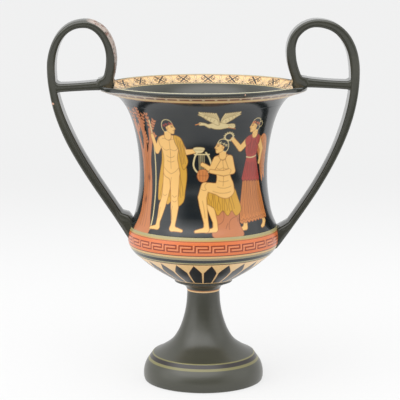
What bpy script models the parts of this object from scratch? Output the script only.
"""Two-handled kantharos on a high foot, in black-glazed clay, fired as one piece.

Metres, +Z up. The origin is the middle of the foot's resting ring, on the floor.
The handles rise at -X and +X, and the painted sides face -Y and +Y.
"""

import math

import bmesh
import bpy
from mathutils import Vector

# Turned body, from the floor up: each rise starts where the part below ends
FOOT_RADIUS = 0.0520
FOOT_EDGE_ROUND = 0.0026
FOOT_RISE = 0.0236
FOOT_SHOULDER_RADIUS = 0.0443
FOOT_WALL = 0.0068
FOOT_HOLLOW_RISE = 0.0560
STEM_RADIUS = 0.0142
STEM_RISE = 0.0564
COLLAR_RADIUS = 0.0250
COLLAR_RISE = 0.0088
COLLAR_EDGE = 0.0014
BELLY_RADIUS = 0.0654
BELLY_RISE = 0.0392
WAIST_RADIUS = 0.0548
WAIST_RISE = 0.0540
LIP_RADIUS = 0.0850
LIP_RISE = 0.0770
LIP_EDGE_ROUND = 0.0018
LIP_EDGE_HEIGHT = 0.0034
LIP_BAND_WIDTH = 0.0104
LIP_BAND_DROP = 0.0077
BOWL_WALL = 0.0046
BOWL_FLOOR_RISE = 0.0056

# Strap handles: flat ribbons of clay bent in the XZ plane, with a bar to the lip
STRAP_WIDTH = 0.0240
STRAP_THICKNESS = 0.0066
BAR_WIDTH = 0.0226
BAR_THICKNESS = 0.0062
BAR_FLARE = 0.0018
RIBBON_CORNER = 0.0024
HANDLE_OVERHANG = 0.0472
HANDLE_RISE = 0.0549
LOOP_FULLNESS = 2.2
ROOT_TUCK = 0.0038
ROOT_LEAD = 0.0070
ROOT_LEAN = 0.0050
LANDING_INSET = 0.0022
LANDING_DEPTH = 0.0030

# The two straps were bent by hand and differ. Heights are above the lip, but the
# root's is above the belly's widest line; the loop's top lies outside the lip and
# its crook, where the inner limb turns back out, lies inside it. An ease above 1 lets
# a limb leave the belly more upright
RIGHT_ROOT_RISE = -0.0076
RIGHT_ROOT_EASE = 1.0
RIGHT_WIDEST_RISE = 0.0090
RIGHT_TOP_OUTSET = 0.0115
RIGHT_CROOK_INSET = 0.0108
RIGHT_CROOK_RISE = 0.0270
RIGHT_BAR_RISE = 0.0010
LEFT_ROOT_RISE = 0.0004
LEFT_ROOT_EASE = 1.09
LEFT_WIDEST_RISE = 0.0130
LEFT_TOP_OUTSET = 0.0153
LEFT_CROOK_INSET = 0.0075
LEFT_CROOK_RISE = 0.0212
LEFT_BAR_RISE = -0.0016
BAR_SLOPE = 0.0026

# Fineness of the faceted solid
TURN_STEPS = 48
CORNER_STEPS = 2
LIMB_STEPS = 10
LOOP_STEPS = 7
TAIL_STEPS = 4
BAR_STEPS = 6

STEM_TOP = FOOT_RISE + STEM_RISE
COLLAR_HEIGHT = STEM_TOP + COLLAR_RISE
BELLY_HEIGHT = COLLAR_HEIGHT + BELLY_RISE
WAIST_HEIGHT = BELLY_HEIGHT + WAIST_RISE
LIP_HEIGHT = WAIST_HEIGHT + LIP_RISE
LIP_UNDERSIDE = LIP_HEIGHT - LIP_EDGE_HEIGHT
CREST_RADIUS = LIP_RADIUS - LIP_EDGE_ROUND

GLAZE_COLOUR = (0.022, 0.024, 0.022, 1.0)
GLAZE_ROUGHNESS = 0.32

# Steps from one ring of the profile to the next, as shares of its radius and height
WAIST_TO_BELLY = [(0.047, 0.22), (0.17, 0.41), (0.33, 0.59), (0.52, 0.71), (0.74, 0.81), (0.92, 0.91)]
BELLY_TO_COLLAR = [(0.008, 0.10), (0.035, 0.21), (0.10, 0.32), (0.29, 0.50), (0.57, 0.725), (0.80, 0.875)]
COLLAR_TO_STEM = [(0.30, 0.17), (0.62, 0.38), (0.88, 0.64)]
STEM_TO_SHOULDER = [(0.0, 0.09), (0.04, 0.30), (0.12, 0.48), (0.26, 0.67), (0.44, 0.81), (0.70, 0.915)]
SHOULDER_TO_SIDE = [(0.34, 0.18), (0.72, 0.38), (0.95, 0.62)]
LIP_SHARES = (0.14, 0.30, 0.46, 0.60, 0.72, 0.82, 0.90, 0.955)


def clear_scene():
    for thing in list(bpy.data.objects):
        bpy.data.objects.remove(thing)


def new_collection(name):
    collection = bpy.data.collections.new(name)
    bpy.context.scene.collection.children.link(collection)
    return collection


def black_glaze():
    material = bpy.data.materials.new("black_glaze")
    material.use_nodes = True
    shader = material.node_tree.nodes["Principled BSDF"]
    shader.inputs["Base Color"].default_value = GLAZE_COLOUR
    shader.inputs["Roughness"].default_value = GLAZE_ROUGHNESS
    shader.inputs["Metallic"].default_value = 0.0
    return material


def between(start, end, shares):
    """Points on the way from start to end, each at its shares of the two differences."""
    (r0, z0), (r1, z1) = start, end
    return [(r0 + (r1 - r0) * across, z0 + (z1 - z0) * along) for across, along in shares]


def inset(points, wall):
    """A line of outer points moved into the clay by a wall's thickness."""
    moved = []
    for before, here, after in zip(points, points[1:], points[2:]):
        along = (Vector(after) - Vector(before)).normalized()
        moved.append((here[0] + along.y * wall, here[1] - along.x * wall))
    return moved


def lip_flare():
    """The outer wall from the lip down to the waist, opening gently and then sharply."""
    spread = CREST_RADIUS - WAIST_RADIUS
    rise = LIP_UNDERSIDE - WAIST_HEIGHT
    flare = []
    for share in reversed(LIP_SHARES):
        opening = 0.6 * share**2.15 + 0.4 * share**9
        flare.append((WAIST_RADIUS + spread * opening, WAIST_HEIGHT + rise * share))
    return flare


def bowl_outside():
    """The outside of the bowl from under the lip down to the collar."""
    waist = (WAIST_RADIUS, WAIST_HEIGHT)
    belly = (BELLY_RADIUS, BELLY_HEIGHT)
    collar = (COLLAR_RADIUS, COLLAR_HEIGHT)
    wall = lip_flare() + [waist] + between(waist, belly, WAIST_TO_BELLY)
    return wall + [belly] + between(belly, collar, BELLY_TO_COLLAR) + [collar]


def foot_outside():
    """The outside of the stem and foot from under the collar down to the foot's side."""
    collar = (COLLAR_RADIUS, COLLAR_HEIGHT - COLLAR_EDGE)
    stem = (STEM_RADIUS, STEM_TOP)
    shoulder = (FOOT_SHOULDER_RADIUS, FOOT_RISE)
    side = (FOOT_RADIUS, FOOT_EDGE_ROUND)
    sweep = [collar] + between(collar, stem, COLLAR_TO_STEM) + [stem]
    sweep += between(stem, shoulder, STEM_TO_SHOULDER) + [shoulder]
    return sweep + between(shoulder, side, SHOULDER_TO_SIDE) + [side]


def lip_edge():
    """The rounded edge of the lip, from the inner band over the top to the underside."""
    edge = []
    for turn in (135, 90, 45, 0):
        angle = math.radians(turn)
        drop = LIP_EDGE_ROUND * (1 - math.sin(angle))
        edge.append((CREST_RADIUS + LIP_EDGE_ROUND * math.cos(angle), LIP_HEIGHT - drop))
    return edge + [(CREST_RADIUS, LIP_UNDERSIDE)]


def bowl_inside():
    """The inside of the bowl from the middle of its floor up to the lip."""
    floor_height = COLLAR_HEIGHT + BOWL_FLOOR_RISE
    wall = inset([point for point in bowl_outside() if point[1] < LIP_HEIGHT - LIP_BAND_DROP * 2], BOWL_WALL)
    wall = [point for point in reversed(wall) if point[1] > floor_height + BOWL_WALL * 0.3]
    band_end = (CREST_RADIUS - LIP_BAND_WIDTH, LIP_HEIGHT - LIP_BAND_DROP)
    floor = [(0.0, floor_height), (wall[0][0] * 0.7, floor_height + BOWL_WALL * 0.1)]
    return floor + wall + between(wall[-1], band_end, [(0.45, 0.60)]) + [band_end]


def foot_underside():
    """The rounded foot edge, the flat resting ring and the hollow up inside the stem."""
    edge_middle = FOOT_EDGE_ROUND * (1 - math.sqrt(0.5))
    ring_outer = (FOOT_RADIUS - FOOT_EDGE_ROUND, 0.0)
    ring_inner = (ring_outer[0] - FOOT_WALL, 0.0)
    sweep = [point for point in foot_outside() if FOOT_EDGE_ROUND < point[1] < FOOT_HOLLOW_RISE]
    hollow = [point for point in reversed(inset(sweep, FOOT_WALL)) if point[0] < ring_inner[0]]
    vault = (hollow[-1][0] * 0.6, (hollow[-1][1] + FOOT_HOLLOW_RISE * 2) / 3)
    edge = [(FOOT_RADIUS - edge_middle, edge_middle), ring_outer, ring_inner]
    return edge + hollow + [vault, (0.0, FOOT_HOLLOW_RISE)]


def turned(name, profile, collection):
    """A closed shape turned from a profile that starts and ends on the axis."""
    mesh = bpy.data.meshes.new(name)
    edges = [(index, index + 1) for index in range(len(profile) - 1)]
    mesh.from_pydata([(radius, 0.0, height) for radius, height in profile], edges, [])
    shape = bpy.data.objects.new(name, mesh)
    collection.objects.link(shape)
    turn = shape.modifiers.new("turn", "SCREW")
    turn.steps = TURN_STEPS
    turn.render_steps = TURN_STEPS
    turn.use_merge_vertices = True
    turn.merge_threshold = 0.00001
    return shape


def as_helper(shape):
    shape.hide_render = True
    shape.display_type = "WIRE"
    return shape


def strap_route(root_rise, root_ease, widest_rise, top_outset, crook_inset, crook_rise):
    """A strap's middle line in radius and height, from inside the belly's wall to the lip."""
    half = STRAP_THICKNESS / 2
    root = Vector((BELLY_RADIUS - ROOT_TUCK, BELLY_HEIGHT + root_rise))
    widest = Vector((LIP_RADIUS + HANDLE_OVERHANG - half, LIP_HEIGHT + widest_rise))
    top = Vector((LIP_RADIUS + top_outset, LIP_HEIGHT + HANDLE_RISE - half))
    crook = Vector((LIP_RADIUS - crook_inset, LIP_HEIGHT + crook_rise))
    landing = Vector((LIP_RADIUS - LANDING_INSET, LIP_HEIGHT - LANDING_DEPTH))
    quarter = math.pi / 2
    power = 2 / LOOP_FULLNESS
    route = [(root.x - ROOT_LEAN, root.y - ROOT_LEAD)]
    for step in range(LIMB_STEPS):
        share = step / LIMB_STEPS
        across = math.sin(share**root_ease * quarter)
        route.append((root.x + (widest.x - root.x) * across, root.y + (widest.y - root.y) * share))
    for step in range(LOOP_STEPS):
        turn = step / LOOP_STEPS * quarter
        across = math.cos(turn) ** power
        along = math.sin(turn) ** power
        route.append((top.x + (widest.x - top.x) * across, widest.y + (top.y - widest.y) * along))
    for step in range(LOOP_STEPS):
        turn = step / LOOP_STEPS * quarter
        across = math.sin(turn)
        route.append((top.x + (crook.x - top.x) * across, crook.y + (top.y - crook.y) * math.cos(turn)))
    for step in range(TAIL_STEPS + 1):
        share = step / TAIL_STEPS
        across = 1 - math.cos(share * quarter)
        route.append((crook.x + (landing.x - crook.x) * across, crook.y + (landing.y - crook.y) * share))
    return route


def flat_curve(name, points, closed):
    """A flat line through points given as (across, up)."""
    curve = bpy.data.curves.new(name, "CURVE")
    curve.dimensions = "2D"
    curve.fill_mode = "NONE"
    spline = curve.splines.new("POLY")
    spline.points.add(len(points) - 1)
    for point, (across, up) in zip(spline.points, points):
        point.co = (across, up, 0.0, 1.0)
    spline.use_cyclic_u = closed
    return curve


def strap_section(name, collection):
    """The rounded rectangle that a strap's route carries along."""
    points = []
    for start, across, upward in ((0, 1, 1), (90, -1, 1), (180, -1, -1), (270, 1, -1)):
        for step in range(CORNER_STEPS + 1):
            angle = math.radians(start + 90 * step / CORNER_STEPS)
            x = across * (STRAP_THICKNESS / 2 - RIBBON_CORNER) + RIBBON_CORNER * math.cos(angle)
            y = upward * (STRAP_WIDTH / 2 - RIBBON_CORNER) + RIBBON_CORNER * math.sin(angle)
            points.append((x, y))
    section = bpy.data.objects.new(name, flat_curve(name, points, True))
    collection.objects.link(section)
    return as_helper(section)


def solid_from(curve, name, collection):
    """A closed mesh of a curve that was drawn flat, stood up in the XZ plane."""
    drawn = bpy.data.objects.new(name + "_curve", curve)
    drawn.rotation_euler = (math.radians(90), 0.0, 0.0)
    collection.objects.link(drawn)
    bpy.context.view_layer.update()
    mesh = bpy.data.meshes.new_from_object(drawn.evaluated_get(bpy.context.evaluated_depsgraph_get()))
    shape = bmesh.new()
    shape.from_mesh(mesh)
    bmesh.ops.remove_doubles(shape, verts=shape.verts, dist=0.00001)
    bmesh.ops.recalc_face_normals(shape, faces=shape.faces)
    shape.to_mesh(mesh)
    shape.free()
    mesh.shade_smooth()
    mesh.set_sharp_from_angle(angle=math.radians(50))
    made = bpy.data.objects.new(name, mesh)
    made.matrix_world = drawn.matrix_world
    collection.objects.link(made)
    bpy.data.objects.remove(drawn)
    return as_helper(made)


def strap(name, side, route, collection):
    """A ribbon of the strap's section, swept along its route on one side of the body."""
    curve = flat_curve(name, [(side * radius, height) for radius, height in route], False)
    curve.bevel_mode = "OBJECT"
    curve.bevel_object = strap_section(name + "_section", collection)
    curve.use_fill_caps = True
    return solid_from(curve, name, collection)


def bar(name, side, bar_rise, collection):
    """The bar from the lip to the strap's outer limb, thicker where its ends are luted on."""
    start = LIP_RADIUS - LANDING_INSET * 2
    end = LIP_RADIUS + HANDLE_OVERHANG - STRAP_THICKNESS / 2
    upper = []
    lower = []
    for step in range(BAR_STEPS + 1):
        share = step / BAR_STEPS
        flare = BAR_FLARE * ((1 - share) ** 3 + share**6 / 2)
        half = BAR_THICKNESS / 2 + flare - RIBBON_CORNER
        height = LIP_HEIGHT + bar_rise - BAR_SLOPE * share
        radius = side * (start + (end - start) * share)
        upper.append((radius, height + half))
        lower.append((radius, height - half))
    curve = flat_curve(name, upper + lower[::-1], True)
    curve.fill_mode = "BOTH"
    curve.extrude = BAR_WIDTH / 2 - RIBBON_CORNER
    curve.bevel_depth = RIBBON_CORNER
    curve.bevel_resolution = 1
    return solid_from(curve, name, collection)


def root_cutter(collection):
    """The bowl's inside grown to the middle of its wall, where the straps' roots stop."""
    wall = [point for point in bowl_outside() if COLLAR_HEIGHT < point[1] < WAIST_HEIGHT + LIP_RISE * 0.4]
    middle = inset(wall, BOWL_WALL / 2)
    profile = [(0.0, middle[0][1])] + middle + [(0.0, middle[-1][1])]
    return as_helper(turned("root_cutter", profile, collection))


def apply_boolean(shape, other, operation):
    modifier = shape.modifiers.new(operation.lower() + "_" + other.name, "BOOLEAN")
    modifier.operation = operation
    modifier.solver = "EXACT"
    modifier.object = other


def main():
    clear_scene()
    vessel = new_collection("kantharos")
    helpers = new_collection("helpers")
    profile = bowl_inside() + lip_edge() + bowl_outside() + foot_outside() + foot_underside()
    body = turned("kantharos", profile, vessel)
    body.data.materials.append(black_glaze())
    cutter = root_cutter(helpers)
    right_root = (RIGHT_ROOT_RISE, RIGHT_ROOT_EASE)
    left_root = (LEFT_ROOT_RISE, LEFT_ROOT_EASE)
    right_loop = (RIGHT_WIDEST_RISE, RIGHT_TOP_OUTSET, RIGHT_CROOK_INSET, RIGHT_CROOK_RISE)
    left_loop = (LEFT_WIDEST_RISE, LEFT_TOP_OUTSET, LEFT_CROOK_INSET, LEFT_CROOK_RISE)
    right = ("right", 1.0, right_root, right_loop, RIGHT_BAR_RISE)
    left = ("left", -1.0, left_root, left_loop, LEFT_BAR_RISE)
    for name, side, root, loop, bar_rise in (right, left):
        handle = strap(name + "_strap", side, strap_route(*root, *loop), helpers)
        apply_boolean(handle, cutter, "DIFFERENCE")
        apply_boolean(handle, bar(name + "_bar", side, bar_rise, helpers), "UNION")
        apply_boolean(body, handle, "UNION")


main()
